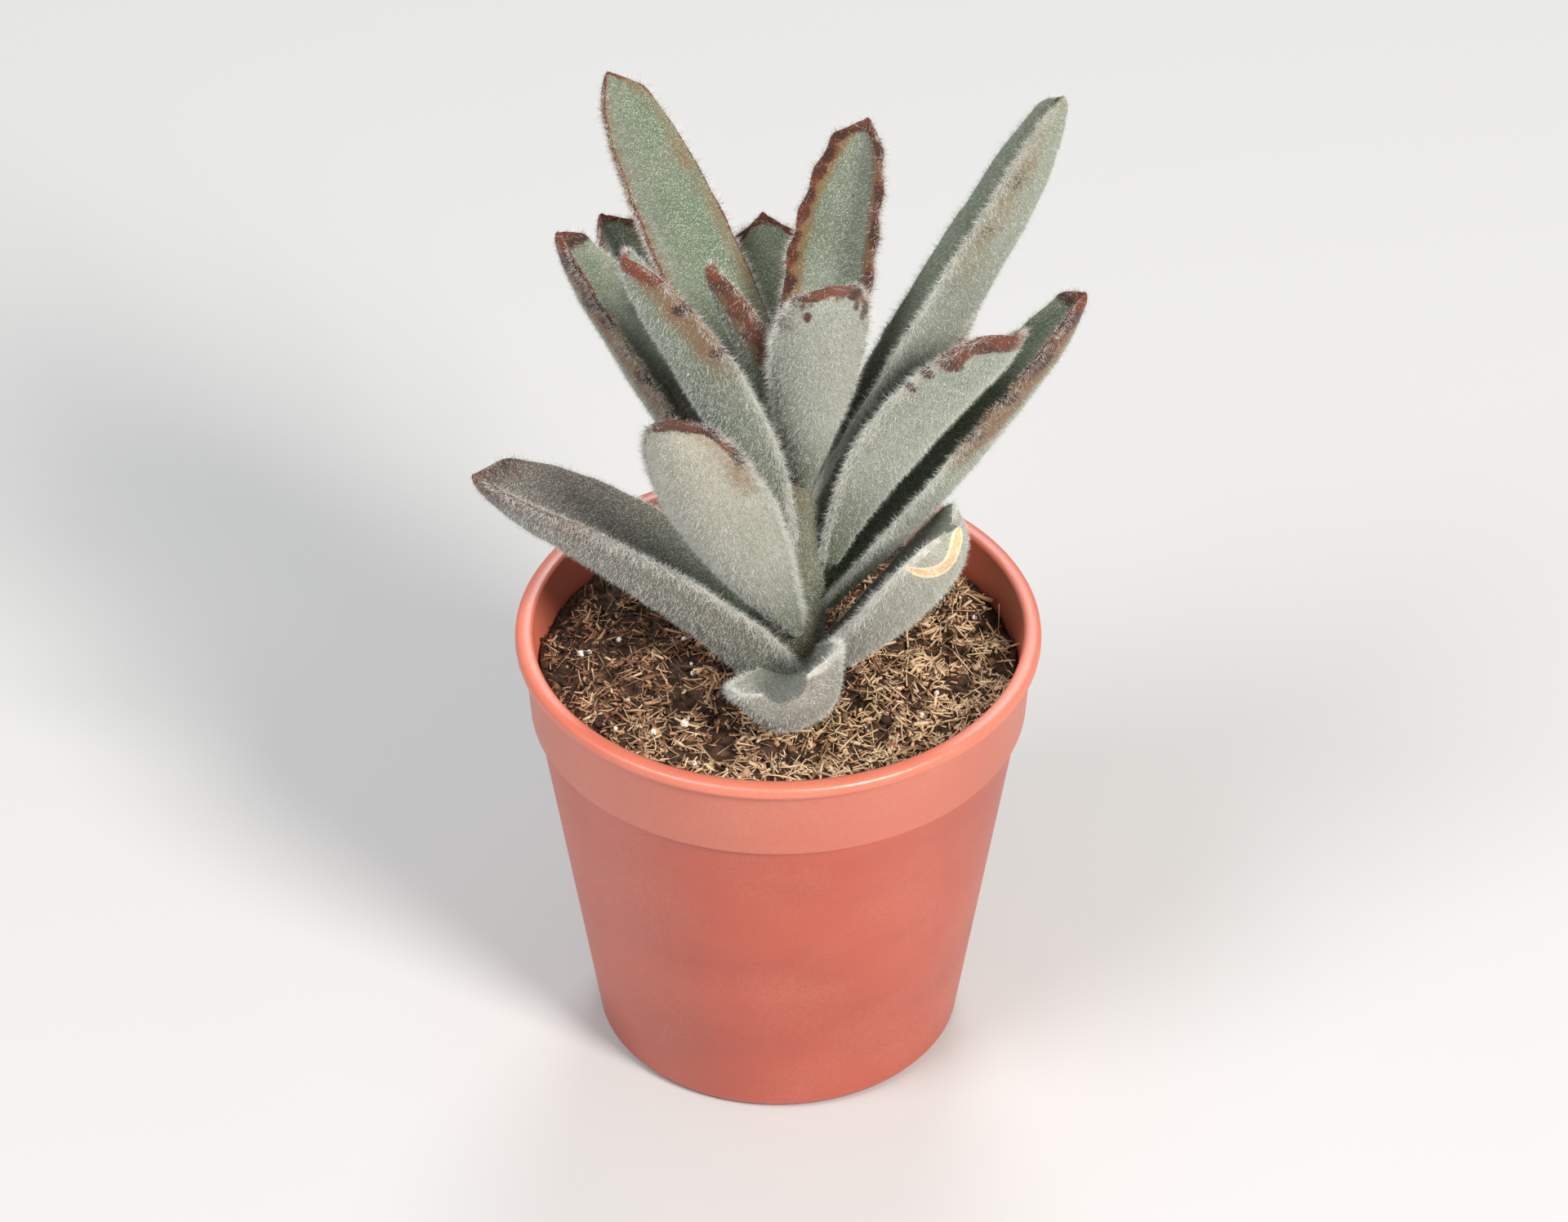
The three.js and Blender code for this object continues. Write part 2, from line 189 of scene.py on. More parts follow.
POT_HEIGHT = 50
RIM_RADIUS = 27.5
BASE_RADIUS = 19
WALL = 1.1
LIP_HEIGHT = 1.5
LIP_OVERHANG = 0.9
COLLAR_HEIGHT = 9.7
COLLAR_TAPER = 0.6
COLLAR_STEP = 0.6
FLOOR_CORNER = 1
DRAIN_COUNT = 6
DRAIN_RADIUS = 2
DRAIN_CIRCLE = 12.5
DRAIN_SIDES = 24
POT_SIDES = 168
SHARP_FOLD = 50

COLLAR_FOOT = POT_HEIGHT - COLLAR_HEIGHT
LIP_FOOT = POT_HEIGHT - LIP_HEIGHT

TERRACOTTA = (0.50, 0.07, 0.029, 1)
TERRACOTTA_DEEP = (0.39, 0.047, 0.02, 1)
# The collar's paler colour, a painted highlight.
COLLAR_PAINTED_HIGHLIGHT = (0.62, 0.17, 0.105, 1)
SCUFF = (0.70, 0.36, 0.27, 1)


def body_radius(height):
    top_radius = RIM_RADIUS - LIP_OVERHANG - COLLAR_TAPER - COLLAR_STEP
    return BASE_RADIUS + (top_radius - BASE_RADIUS) * height / COLLAR_FOOT


def collar_radius(height):
    down = (LIP_FOOT - height) / (COLLAR_HEIGHT - LIP_HEIGHT)
    return RIM_RADIUS - LIP_OVERHANG - COLLAR_TAPER * down


def turned(shape, profile, sides):
    """A wire of (radius, height) points, turned once round the Z axis."""
    points = [shape.verts.new((radius * MM, 0, height * MM)) for radius, height in profile]
    wire = [shape.edges.new(pair) for pair in zip(points, points[1:])]
    bmesh.ops.spin(shape, geom=points + wire, cent=(0, 0, 0), axis=(0, 0, 1), dvec=(0, 0, 0),
                   angle=2 * math.pi, steps=sides, use_merge=True, use_duplicate=False)


def place_piece(name, mesh, materials):
    """A finished mesh as an object that rides on the part's only body."""
    for material in materials:
        mesh.materials.append(material)
    piece = add_object(name, mesh)
    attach(piece, "root")
    return piece


def add_piece(name, shape, materials):
    mesh = bpy.data.meshes.new(name)
    for face in shape.faces:
        face.smooth = True
    shape.to_mesh(mesh)
    shape.free()
    return place_piece(name, mesh, materials)


def pot_plastic():
    finish = Finish("pot_plastic", 0.36, 0.9)
    # Flow of the colour in the moulding: long soft faint streaks round the wall.
    streaks = finish.pattern(120.0, 3.0, stretch=(0.35, 0.35, 1))
    colour = finish.mix(TERRACOTTA_DEEP, TERRACOTTA, finish.span(streaks, 0.2, 0.55))
    # The collar is painted paler than the body below it: a painted highlight that stands in for the
    # sheen light leaves on it.
    level = finish.node("ShaderNodeSeparateXYZ", {"Vector": finish.place})["Z"]
    upper = finish.span(level, (COLLAR_FOOT - 0.2) * MM, (COLLAR_FOOT + 0.3) * MM, 0.0, 0.7)
    colour = finish.mix(colour, COLLAR_PAINTED_HIGHLIGHT, upper)
    # Fine pale scuffs and dust, thicker in some places than in others.
    dust = finish.pattern(2400.0, 3.0, 0.7)
    patches = finish.pattern(90.0, 2.0)
    scuffed = finish.span(finish.times(dust, patches), 0.2, 0.5, 0.0, 0.2)
    finish.paint(finish.mix(colour, SCUFF, scuffed))
    finish.give(finish.shader["Roughness"], finish.span(patches, 0.0, 1.0, 0.3, 0.5))
    finish.emboss(dust, 0.25, 0.00008)
    return finish.material


# The offsets of up to 0.6 mm round the corners: at the collar's foot, under the lip, over it
# and down into the pot.
pot_mouth = collar_radius(POT_HEIGHT) - WALL
pot_shape = bmesh.new()
turned(pot_shape, [
    (BASE_RADIUS - FLOOR_CORNER, 0),
    (BASE_RADIUS - 0.35 * FLOOR_CORNER, 0.3 * FLOOR_CORNER),
    (body_radius(FLOOR_CORNER), FLOOR_CORNER),
    (body_radius(COLLAR_FOOT - 0.3), COLLAR_FOOT - 0.3),
    (body_radius(COLLAR_FOOT) + 0.12, COLLAR_FOOT - 0.05),
    (collar_radius(COLLAR_FOOT) - 0.12, COLLAR_FOOT + 0.02),
    (collar_radius(COLLAR_FOOT + 0.2), COLLAR_FOOT + 0.2),
    (collar_radius(LIP_FOOT - 0.25), LIP_FOOT - 0.25),
    (collar_radius(LIP_FOOT) + 0.12, LIP_FOOT - 0.05),
    (RIM_RADIUS - 0.3, LIP_FOOT + 0.05),
    (RIM_RADIUS - 0.05, LIP_FOOT + 0.3),
    (RIM_RADIUS, LIP_FOOT + 0.6),
    (RIM_RADIUS - 0.05, POT_HEIGHT - 0.4),
    (RIM_RADIUS - 0.2, POT_HEIGHT - 0.14),
    (RIM_RADIUS - 0.5, POT_HEIGHT),
    (pot_mouth + 0.4, POT_HEIGHT),
    (pot_mouth + 0.12, POT_HEIGHT - 0.12),
    (pot_mouth, POT_HEIGHT - 0.4),
    (collar_radius(COLLAR_FOOT + WALL) - WALL, COLLAR_FOOT + WALL),
    (body_radius(COLLAR_FOOT) - WALL, COLLAR_FOOT - 0.4),
    (body_radius(WALL + FLOOR_CORNER) - WALL, WALL + FLOOR_CORNER),
    (BASE_RADIUS - FLOOR_CORNER - WALL, WALL),
], POT_SIDES)

# The base is filled between the wall's foot and the rims of the drain holes, on its underside
# and on its inside, and the two faces are joined through the holes.
for height in (0, WALL):
    rims = [edge for edge in pot_shape.edges
            if edge.is_boundary and abs(edge.verts[0].co.z - height * MM) < TOUCHING]
    for k in range(DRAIN_COUNT):
        angle = 2 * math.pi * (k + 0.5) / DRAIN_COUNT
        spot = Vector((DRAIN_CIRCLE * math.cos(angle), DRAIN_CIRCLE * math.sin(angle), height)) * MM
        rim = bmesh.ops.create_circle(pot_shape, cap_ends=False, segments=DRAIN_SIDES,
                                      radius=DRAIN_RADIUS * MM, matrix=Matrix.Translation(spot))
        rims.extend(dict.fromkeys(edge for point in rim["verts"] for edge in point.link_edges))
    bmesh.ops.triangle_fill(pot_shape, use_beauty=True, use_dissolve=False, edges=rims)
hole_rims = [edge for edge in pot_shape.edges if edge.is_boundary]
bmesh.ops.bridge_loops(pot_shape, edges=hole_rims)
bmesh.ops.recalc_face_normals(pot_shape, faces=pot_shape.faces)
for edge in pot_shape.edges:
    edge.smooth = edge.calc_face_angle(0) < math.radians(SHARP_FOLD)
pot = add_piece("grower_pot", pot_shape, [pot_plastic()])
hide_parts("pot")

# ---- Soil -----------------------------------------------------------------------------------
# Peat potting mix: a dark crumbly fill with straw-coloured fibres lying every way on top, lumps
# of peat and a few pale grains of grit. The fill is turned to the pot's inside and its top is
# roughened. The fibres, lumps and grains are small copies strewn over it by seeded chance.

SOIL_LEVEL = 44.8
GAP = 0.3
SOIL_SIDES = 220
SOIL_RINGS = 74
CLUMP_HEIGHT = 1.1
CLUMP_SCALE = 0.24  # makes the clumps 4 to 6 mm across
CRUMB_HEIGHT = 0.5
CRUMB_SCALE = 1.1
STEM_X = 2.4
STEM_ROOM = 2.6  # nothing is strewn nearer to the stem's middle line
SOIL_SEED = 5

# Strands of two kinds. The shares are those of the straw, tan, bark and peat colours.
STRANDS = [
    dict(name="peat_fibres", count=9000, bends=(0.05,), arch=1.8, from_wall=0.5,
         length=1.25, width=0.24, tilt=0.36, shares=(0.3, 0.33, 0.21, 0.16)),
    dict(name="peat_curls", count=900, bends=(-0.3, -0.1, 0.1, 0.3), arch=6.5, from_wall=1.2,
         length=2.6, width=0.13, tilt=0.5, shares=(0.4, 0.4, 0.2, 0)),
]
STRAND_SIDES = 3
STRAND_TAPER = 0.55
LUMP_COUNT = 650
GRIT_COUNT = 70
CRUMBS_FROM_WALL = 1

PEAT_DARK = (0.016, 0.009, 0.006, 1)
PEAT = (0.12, 0.068, 0.042, 1)
FIBRE_COLOURS = {
    "straw": (0.60, 0.425, 0.26),
    "tan": (0.4, 0.235, 0.135),
    "bark": (0.19, 0.09, 0.05),
    "peat": (0.045, 0.024, 0.017),
}
GRIT_COLOUR = (0.72, 0.66, 0.58)


# The numbers after a place in noise.fractal are its roughness, its spacing and its layers.
def soil_clump(x, y):
    """From about -1 in the dark hollows between the clumps to 1 on top of them."""
    return noise.fractal(Vector((x, y, 0)) * CLUMP_SCALE, 0.9, 2.0, 2)


def soil_height(x, y):
    """The soil's surface: clumps, with crumbs on them."""
    crumbs = noise.fractal(Vector((x, y, 0)) * CRUMB_SCALE + Vector((7, 3, 1)), 0.8, 2.1, 3)
    return SOIL_LEVEL + CLUMP_HEIGHT * soil_clump(x, y) + CRUMB_HEIGHT * crumbs


def peat_fill():
    finish = Finish("peat", 0.95, 0.15)
    crumbs = finish.pattern(900.0, 6.0, 0.7)
    ramp = finish.tree.nodes.new("ShaderNodeValToRGB")
    for end, position, colour in zip(ramp.color_ramp.elements, (0.36, 0.66), (PEAT_DARK, PEAT)):
        end.position = position
        end.color = colour
    finish.give(ramp.inputs["Fac"], crumbs)
    finish.paint(ramp.outputs["Color"])
    finish.emboss(crumbs, 1.0, 0.0006)
    return finish.material


def plain_finish(name, colour, roughness):
    """For strands and crumbs too small to carry a pattern: one colour to a strand."""
    finish = Finish(name, roughness, 0.2)
    finish.paint((*colour, 1))
    return finish.material


def strew(name, template, places, kinds, materials):
    """Many copies of one small shape in one mesh: a 3 x 4 matrix and a kind for each."""
    bmesh.ops.triangulate(template, faces=template.faces)
    corners = np.array([[*point.co, 1] for point in template.verts])
    faces = np.array([[point.index for point in face.verts] for face in template.faces])
    template.free()
    count = len(places)
    points = np.einsum("nij,vj->nvi", places, corners).reshape(-1, 3)
    steps = np.arange(count)[:, None, None] * len(corners)
    mesh = bpy.data.meshes.new(name)
    mesh.from_pydata(points, [], (faces[None] + steps).reshape(-1, 3))
    mesh.polygons.foreach_set("material_index", np.repeat(kinds, len(faces)).astype(np.int32))
    mesh.polygons.foreach_set("use_smooth", np.ones(count * len(faces), bool))
    mesh.update()
    place_piece(name, mesh, materials)


def turned_places(spots, directions, sides, lengths, widths):
    """Matrices that put a shape's Z along each direction and its X along each side."""
    directions = directions / np.linalg.norm(directions, axis=1, keepdims=True)
    sides = sides - directions * (sides * directions).sum(1, keepdims=True)
    sides /= np.linalg.norm(sides, axis=1, keepdims=True)
    thirds = np.cross(directions, sides)
    places = np.empty((len(spots), 3, 4))
    places[:, :, 0] = sides * widths[:, None]
    places[:, :, 1] = thirds * widths[:, None]
    places[:, :, 2] = directions * lengths[:, None]
    places[:, :, 3] = spots
    return places


def on_soil(count, from_wall):
    """Random spots on the soil, clear of the stem's foot and thinner in the hollows."""
    radius = (soil_edge - from_wall) * np.sqrt(soil_chance.random(count))
    angle = 2 * math.pi * soil_chance.random(count)
    across = np.stack([radius * np.cos(angle), radius * np.sin(angle)], 1)
    clear = np.hypot(across[:, 0] - STEM_X, across[:, 1]) > STEM_ROOM
    clumps = np.array([soil_clump(x, y) for x, y in across])
    across = across[clear & (0.55 + 1.6 * clumps > soil_chance.random(count) - 0.25)]
    heights = [soil_height(x, y) for x, y in across]
    return np.column_stack([across, heights])


def about(usual, spread, count, least, most):
    """Random sizes about a usual one, held between two multiples of it."""
    sizes = soil_chance.lognormal(math.log(usual), spread, count)
    return np.clip(sizes, least * usual, most * usual)


def strand(bends, arch):
    """A thin tapering strand along Z, one unit long, that arches to its side."""
    shape = bmesh.new()
    bmesh.ops.create_cone(shape, cap_ends=True, segments=STRAND_SIDES, radius1=1,
                          radius2=STRAND_TAPER, depth=1)
    for height in bends:
        bmesh.ops.bisect_plane(shape, geom=shape.verts[:] + shape.edges[:] + shape.faces[:],
                               plane_co=(0, 0, height), plane_no=(0, 0, 1))
    for point in shape.verts:
        point.co.x += arch * (0.25 - point.co.z ** 2)
    return shape


def strew_strands(name, count, bends, arch, from_wall, length, width, tilt, shares):
    """Strands that lie over the soil every way, with the shares of each colour."""
    spots = on_soil(count, from_wall)
    count = len(spots)
    bearing = 2 * math.pi * soil_chance.random(count)
    pitch = soil_chance.normal(0, tilt, count)
    directions = np.stack([np.cos(bearing) * np.cos(pitch), np.sin(bearing) * np.cos(pitch),
                           np.sin(pitch)], 1)
    lengths = about(length, 0.5, count, 0.3, 2.6)
    widths = about(width, 0.45, count, 0.4, 2.4)
    spots[:, 2] += 0.1 + 0.35 * soil_chance.random(count)
    # Darker pieces lie in the hollows and towards the back left: painted shade in the hollows and a
    # painted shadow of the plant at the back left.
    painted_shade = -2 * np.array([soil_clump(x, y) for x, y in spots[:, :2]])
    painted_shade += (spots[:, 1] - spots[:, 0]) / 16 + soil_chance.normal(0, 1.1, count)
    ranks = np.argsort(np.argsort(painted_shade)) / count
    kinds = np.searchsorted(np.cumsum(shares)[:-1], ranks)
    places = turned_places(spots * MM, directions, soil_chance.normal(size=(count, 3)),
                           lengths * MM, widths / 2 * MM)
    strew(name, strand(bends, arch), places, kinds, fibre_finishes)


def rough_ball(depth, scale, offset):
    """A ball of radius 1 that a smooth noise pushes in and out."""
    ball = bmesh.new()
    bmesh.ops.create_icosphere(ball, subdivisions=1, radius=1)
    for point in ball.verts:
        point.co *= 1 + depth * noise.noise(point.co * scale + Vector(offset))
    return ball


def tumbled_places(spots, heights, widths):
    """Places for crumbs that are each turned their own way."""
    count = len(spots)
    return turned_places(spots * MM, soil_chance.normal(size=(count, 3)),
                         soil_chance.normal(size=(count, 3)), heights * MM, widths * MM)


soil_edge = collar_radius(SOIL_LEVEL) - WALL - GAP
soil_shape = bmesh.new()
turned(soil_shape, [
    (0, WALL + GAP),
    (BASE_RADIUS - FLOOR_CORNER - WALL - 2 * GAP, WALL + GAP),
    (body_radius(WALL + GAP + 2) - WALL - GAP, WALL + GAP + 2),
    (body_radius(COLLAR_FOOT - 1) - WALL - GAP, COLLAR_FOOT - 1),
    (collar_radius(COLLAR_FOOT + 2) - WALL - GAP, COLLAR_FOOT + 2),
    *[(soil_edge * (1 - k / SOIL_RINGS), SOIL_LEVEL) for k in range(SOIL_RINGS + 1)],
], SOIL_SIDES)
bmesh.ops.remove_doubles(soil_shape, verts=soil_shape.verts, dist=TOUCHING)
for point in soil_shape.verts:
    if point.co.z > (SOIL_LEVEL - 0.01) * MM:
        point.co.z = soil_height(point.co.x / MM, point.co.y / MM) * MM
bmesh.ops.recalc_face_normals(soil_shape, faces=soil_shape.faces)
soil = add_piece("peat_mix", soil_shape, [peat_fill()])
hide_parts("soil")

fibre_finishes = [plain_finish(f"fibre_{name}", colour, 0.85)
                  for name, colour in FIBRE_COLOURS.items()]
soil_chance = np.random.default_rng(SOIL_SEED)
for kind in STRANDS:
    strew_strands(**kind)

# Lumps of peat and bark, a little flattened, which stand out of the soil by half and more.
spots = on_soil(LUMP_COUNT, CRUMBS_FROM_WALL)
sizes = np.clip(soil_chance.lognormal(-1.2, 0.4, len(spots)), 0.15, 0.7)
spots[:, 2] += 0.15 * sizes
places = tumbled_places(spots, 0.75 * sizes, sizes)
kinds = soil_chance.choice([1, 2, 2, 3], len(spots))  # tan, bark twice as often, and peat
strew("peat_lumps", rough_ball(0.9, 1.9, (0, 0, 0)), places, kinds, fibre_finishes)

# Grains of grit, which lie on top.
spots = on_soil(GRIT_COUNT, CRUMBS_FROM_WALL)
sizes = np.clip(soil_chance.lognormal(-1.3, 0.4, len(spots)), 0.15, 0.55)
spots[:, 2] += 0.25
places = tumbled_places(spots, sizes, sizes)
strew("soil_grit", rough_ball(0.25, 2.3, (4, 4, 4)), places, np.zeros(len(spots)),
      [plain_finish("grit", GRIT_COLOUR, 0.6)])

# ---- Leaves ---------------------------------------------------------------------------------
# Thick fleshy blades, each folded to a shallow channel, with blunt scalloped tips. Every blade
# is a sheet rolled shut along one margin and drawn to the leaf's own section at each share of
# its length. The colour follows the blade: rust beads on the scallops, an olive band along a
# margin, a green base, and a pale skin that the felt of hairs lightens further. One leaf has a
# healed crescent of cream-coloured scar beside its tip.

LEAF_THICKNESS = 0.25  # of the leaf's width, as the next two are
MARGIN_THICKNESS = 0.14
WIDEST_FOOT = 0.7
TEETH = 4
TEETH_START = 0.56  # of the length
TOOTH_DEPTH = 0.4  # on a leaf 10 mm wide, as TIP_ROUNDING and SWELLS are
NOTCH_STATION = 0.45  # of the half width, as the next one is
NOTCH_WIDTH = 0.14
TIP_ROUNDING = 1.2
TIP_START = 0.92  # of the length, as the next three are
TIP_PULL = 0.035
TAPER_SPAN = 0.2  # where the flesh thins towards the tip
CLOSING_SPAN = 0.04  # where the two faces close
FLESH_ROUNDING = 2.2  # powers of the way from the middle line to the margin
MARGIN_ROUNDING = 9
SWELLS = 0.16  # soft unevenness of the flesh
RIPPLES = 0.06
BEAD_WAVE = 60  # radians over the leaf's length: the beads on the margin below the scallops
SCAR_RADIUS = 2
SCAR_HALF_WIDTH = 0.85
SCAR_START = 15  # angles round the crescent's centre, from the leaf's own direction
SCAR_TURN = 185
SCAR_SEAM = 60  # how far before that direction the angles start to count
BLADE_AROUND = 48
BLADE_ALONG = 110
TIP_CROWDING = 1.35  # rows of faces lie closer together towards the tip
SCAR_DETAIL = 3

# What a leaf has where the list says nothing else.
PLAIN_LEAF = dict(
    # Form: how far it swings round on its way out, how far from the stem's middle line it
    # starts, how far it is turned about its own length, the width of its foot, the share of
    # the width left at its tip, how square its channel is, and how deep its scallops are.
    sweep=0, out=0, roll=0, clasp=2.6, blunt=0.14, cup=1.8, tooth=1,
    # Rust: its strength, the share of the length where it starts, its width, how far it is
    # broken into beads, the size of the blotch at the tip, and how dark it is.
    rust=0.6, start=0.62, band=1, beads=0.6, tip=1.6, dark=0.5,
    # Olive: its strength and where it starts. Left and right are the shares of rust and olive
    # that each margin has.
    olive=0.25, olive_start=0.1, left=1, right=1,
    # Tints of the skin, and the white line along the margins.
    pale=0.5, green=0, purple=0, cream=0, fringe=0.6,
    # Dark spots and the middle of a scar: -1 to 1 from margin to margin, share of the length,
    # and a spot's radius.
    spots=(), scar=None,
)


def leaf_of(**values):
    return {**PLAIN_LEAF, **values}


# A leaf starts at its height over the soil and goes out at its azimuth, with its lift halfway
# along and the whole of its bend between foot and tip. It is widest at a share of its length,
# and a low shoulder fills it out sooner.
LEAVES = [
    leaf_of(name="leaf_01_front", height=2.5, azimuth=-95.5, length=19.2, lift=24, bend=10,
            width=12.2, widest=0.74, shoulder=1.3, channel=4.6, roll=24, cup=3, blunt=0.4,
            tooth=0.3,
            rust=0.1, start=0.7, olive=0.1, pale=1, purple=0.5, cream=0.4, fringe=1),
    leaf_of(name="leaf_02_left", height=-2.6, azimuth=187.3, length=47, lift=41.8, bend=-46,
            sweep=-30, width=12, widest=0.42, shoulder=0.5, channel=4.6, roll=4, clasp=4.4,
            tooth=0.15,
            rust=0.45, start=0.7, band=0.7, beads=0, tip=5.5, dark=0.8, left=0.5,
            pale=0.05, green=0.45, purple=0.85),
    leaf_of(name="leaf_03_right", height=1.2, azimuth=-23.0, length=27.4, lift=54.7, bend=6,
            out=1.0, width=11.6, widest=0.78, shoulder=1.2, channel=3.6, clasp=4.4, tooth=0.2,
            rust=0, olive=0.1, pale=1, cream=0.4, fringe=0.9,
            scar=(-0.9, 0.935)),
    leaf_of(name="leaf_04_back", height=3, azimuth=96, length=36, lift=38, bend=-10,
            width=10.5, widest=0.5, shoulder=0.9, channel=2.6,
            rust=0.7, start=0.6, band=0.9, beads=0.8, tip=2, olive=0.5, pale=0.45, green=0.3),
    leaf_of(name="leaf_05_front_left", height=7, azimuth=234.5, length=44.3, lift=61.2, bend=12,
            out=0.8, width=11.6, widest=0.62, shoulder=1.3, channel=2.2, roll=22, tooth=0.25,
            rust=0.85, start=0.8, band=0.7, beads=0.1, dark=1, olive=0.5, olive_start=0.55,
            left=0.5, pale=0.6, cream=0.7),
    leaf_of(name="leaf_06_back_right", height=7, azimuth=51, length=38, lift=46, bend=-6,
            width=10, widest=0.5, shoulder=0.9, channel=2.8,
            rust=0.75, start=0.6, beads=0.8, tip=2, dark=0.45, olive=0.6, pale=0.4, green=0.3),
    leaf_of(name="leaf_07_right", height=9, azimuth=3.0, length=46.5, lift=54.9, bend=0,
            out=1.8, width=9, widest=0.46, shoulder=1.1, channel=2.8, tooth=0.5,
            rust=0.9, start=0.78, beads=0.5, tip=3.4, dark=0.7, olive=0.95, olive_start=0.4,
            right=0.25, pale=0.45, green=0.35,
            spots=((-0.97, 0.72, 0.6), (-0.98, 0.6, 0.45))),
    leaf_of(name="leaf_08_left", height=11, azimuth=164.5, length=47.3, lift=57.5, bend=0,
            sweep=12, width=9, widest=0.5, shoulder=0.9, channel=3,
            rust=1, start=0.82, band=1.3, beads=1, tip=3.4, dark=0.75, olive=0.95,
            olive_start=0.35, left=0.15, pale=0.45,
            spots=((0.97, 0.79, 0.6), (0.98, 0.64, 0.65), (0.98, 0.53, 0.45))),
    leaf_of(name="leaf_09_back", height=13.5, azimuth=99, length=37, lift=47, bend=6,
            width=10, widest=0.55, shoulder=0.9, channel=2.6,
            rust=0.8, start=0.55, beads=0.8, tip=2, olive=0.5, pale=0.45, green=0.25),
    leaf_of(name="leaf_10_front_right", height=14.8, azimuth=-23.4, length=42.1, lift=57.9,
            bend=-28, sweep=-42, out=1.9, width=10.6, widest=0.48, shoulder=1.3, channel=2.8,
            roll=-18, tooth=0.6,
            rust=1, start=0.8, band=1.2, beads=0.5, tip=2.6, olive=0.15, right=0.2,
            pale=0.7, green=0.15,
            spots=((-1, 0.76, 0.5), (-1, 0.69, 0.4))),
    leaf_of(name="leaf_11_back_left", height=16, azimuth=139.5, length=40, lift=48, bend=6,
            width=9.5, widest=0.5, shoulder=1, channel=2.8,
            rust=0.8, start=0.6, beads=0.8, tip=2, dark=0.55, olive=0.6, pale=0.4, green=0.35),
    leaf_of(name="leaf_12_back_right", height=17.5, azimuth=28.5, length=36.6, lift=54, bend=4,
            width=9.5, widest=0.5, shoulder=1, channel=2.8,
            rust=0.85, start=0.55, beads=0.8, tip=2, dark=0.45, olive=0.6, pale=0.45,
            green=0.25),
    leaf_of(name="leaf_13_left", height=17, azimuth=212, length=47.8, lift=65.9, bend=-18,
            out=1, width=10, widest=0.58, shoulder=1, channel=2.8, tooth=0.6,
            rust=0.95, start=0.93, band=0.9, beads=0.7, tip=2.2, dark=0.2, olive=0.8,
            olive_start=0.5, left=0.25, pale=0.3, green=0.55,
            spots=((0.96, 0.85, 0.6), (0.98, 0.7, 0.5))),
    leaf_of(name="leaf_14_right", height=21.5, azimuth=10.4, length=54.2, lift=61.2, bend=4,
            width=10.5, widest=0.5, shoulder=1.1, channel=4, roll=-16, tooth=0.5,
            rust=0.25, start=0.7, band=0.8, beads=1, tip=1, dark=0.7, olive=0.4,
            olive_start=0.45, right=0.2, pale=0.6, green=0.35),
    leaf_of(name="leaf_15_back", height=22.5, azimuth=60.6, length=41.3, lift=71.6, bend=-14,
            sweep=-8, width=9.5, widest=0.55, shoulder=1.1, channel=2.6,
            rust=1, start=0.05, band=1.1, beads=0.75, tip=2.2, dark=0.6, olive=1, purple=0.2,
            spots=((0.95, 0.88, 1), (0.95, 0.77, 0.95), (0.96, 0.66, 0.8), (0.97, 0.55, 0.7))),
    leaf_of(name="leaf_16_front", height=25.2, azimuth=-71, length=30.6, lift=74.5, bend=0,
            width=10.2, widest=0.7, shoulder=1, channel=2.2, tooth=0.5,
            rust=1, start=0.8, band=1.5, beads=0.7, dark=0.8, left=0.5, pale=0.85, purple=0.2,
            spots=((-0.62, 0.9, 0.45), (0.7, 0.9, 0.45))),
    leaf_of(name="leaf_17_back_left", height=22.6, azimuth=133, length=47.8, lift=53, bend=0,
            width=10.2, widest=0.5, shoulder=1, channel=2.6, tooth=0.25,
            start=0.02, band=0.5, beads=0.1, tip=1.1, dark=0.35, olive=0.5, pale=0.45,
            green=0.4),
    leaf_of(name="leaf_18_crown", height=24, azimuth=206.5, length=32.5, lift=71.5, bend=-26,
            width=7.2, widest=0.5, shoulder=1.1, channel=2,
            rust=1, start=0.15, band=1.6, tip=3, dark=0.35, olive=1, olive_start=0.25,
            left=0.35, pale=0.05, green=0.2),
]

SKIN_GREEN = (0.056, 0.08, 0.025, 1)
SKIN_GREY = (0.112, 0.15, 0.092, 1)
SKIN_PALE = (0.281, 0.296, 0.24, 1)
SKIN_CREAM = (0.352, 0.303, 0.237, 1)
SKIN_PURPLE = (0.12, 0.088, 0.085, 1)
OLIVE = (0.175, 0.092, 0.03, 1)
RUST = (0.135, 0.034, 0.015, 1)
RUST_DARK = (0.035, 0.011, 0.009, 1)
MARGIN_PALE = (0.576, 0.544, 0.496, 1)
SPECK_PALE = (0.595, 0.596, 0.538, 1)
SCAR_CREAM = (0.76, 0.6, 0.4, 1)
SCAR_TAN = (0.55, 0.3, 0.11, 1)


def smooth_step(low, high, value):
    share = min(1, max(0, (value - low) / (high - low)))
    return share * share * (3 - 2 * share)


def near(inner, outer, distance):
    """1 within the inner distance, and 0 beyond the outer one."""
    return 1 - smooth_step(inner, outer, distance)


def rounded_end(s, span):
    """1 along the leaf, then down to 0 at its tip as a quarter of an ellipse."""
    start = 1 - span
    return 1 if s < start else math.sqrt(max(0, 1 - ((s - start) / span) ** 2))


def stem_centre(height):
    return Vector((STEM_X, 0, SOIL_LEVEL + height))


def leaf_azimuth(leaf, s):
    return math.radians(leaf["azimuth"] + leaf["sweep"] * (s - 0.5))


def leaf_direction(leaf, s):
    azimuth = leaf_azimuth(leaf, s)
    lift = math.radians(leaf["lift"] + leaf["bend"] * (s - 0.5))
    return Vector((math.cos(lift) * math.cos(azimuth), math.cos(lift) * math.sin(azimuth),
                   math.sin(lift)))


